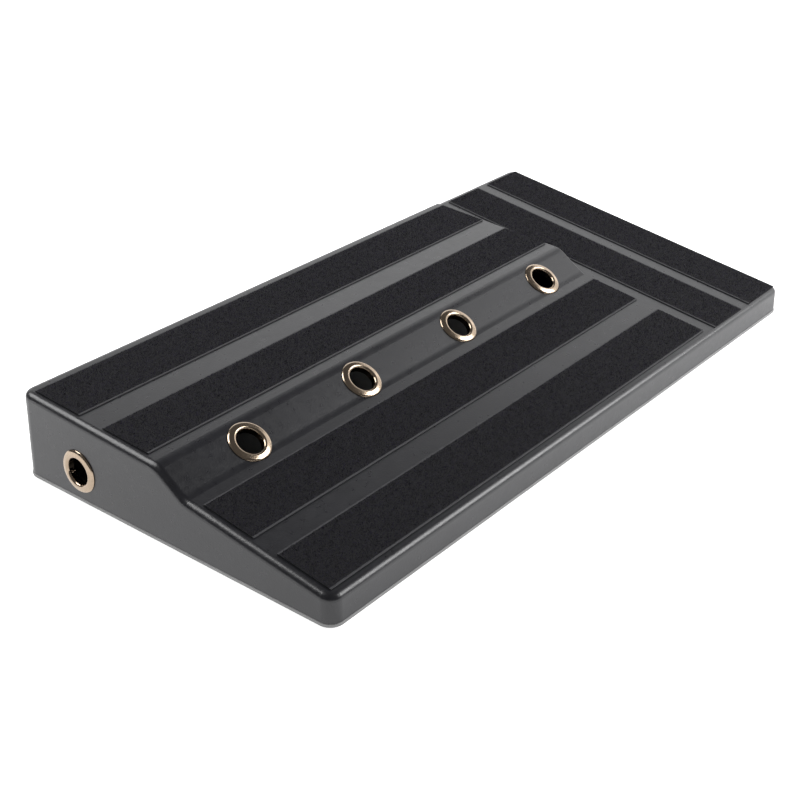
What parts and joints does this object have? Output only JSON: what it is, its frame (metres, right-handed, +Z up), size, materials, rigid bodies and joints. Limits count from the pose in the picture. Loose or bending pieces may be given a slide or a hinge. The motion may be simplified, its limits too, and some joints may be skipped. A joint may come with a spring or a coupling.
{
  "type": "pedalboard",
  "caption": "Wedge-shaped pedalboard with a raised deck, a full-depth pedal lane, loop-tape strips and metal cable eyelets.",
  "frame": {"origin": "on the floor, under the middle of the base outline", "axes": "+X to the player's right along the board, +Y to the high back edge, +Z up"},
  "size_m": [0.6968, 0.34, 0.082],
  "materials": {
    "shell": "moulded black plastic, fine leather grain, satin",
    "post": "plain black rod",
    "base": "plain dark grey sheet, matt",
    "screw_steel": "blackened steel",
    "foot_rubber": "matt",
    "eyelet_nickel": "warm nickel plate, polished",
    "washer_brass": "plain",
    "loop_tape": "black loop pile"
  },
  "bodies": {
    "root": {"top_shell": "shell", "screw_posts": "post", "base_plate": "base", "base_screws": "screw_steel", "foot_front_left": "foot_rubber", "foot_front_middle": "foot_rubber", "foot_front_right": "foot_rubber", "foot_rear_left": "foot_rubber", "foot_rear_middle": "foot_rubber", "foot_rear_right": "foot_rubber", "eyelet_ramp_1": "eyelet_nickel", "washer_ramp_1": "washer_brass", "eyelet_ramp_2": "eyelet_nickel", "washer_ramp_2": "washer_brass", "eyelet_ramp_3": "eyelet_nickel", "washer_ramp_3": "washer_brass", "eyelet_ramp_4": "eyelet_nickel", "washer_ramp_4": "washer_brass", "eyelet_side": "eyelet_nickel", "washer_side": "washer_brass", "loop_strip_deck_rear": "loop_tape", "loop_strip_deck_front": "loop_tape", "loop_strip_low_rear": "loop_tape", "loop_strip_low_front": "loop_tape", "loop_strip_pedal_left": "loop_tape", "loop_strip_pedal_right": "loop_tape"}
  },
  "joints": []
}
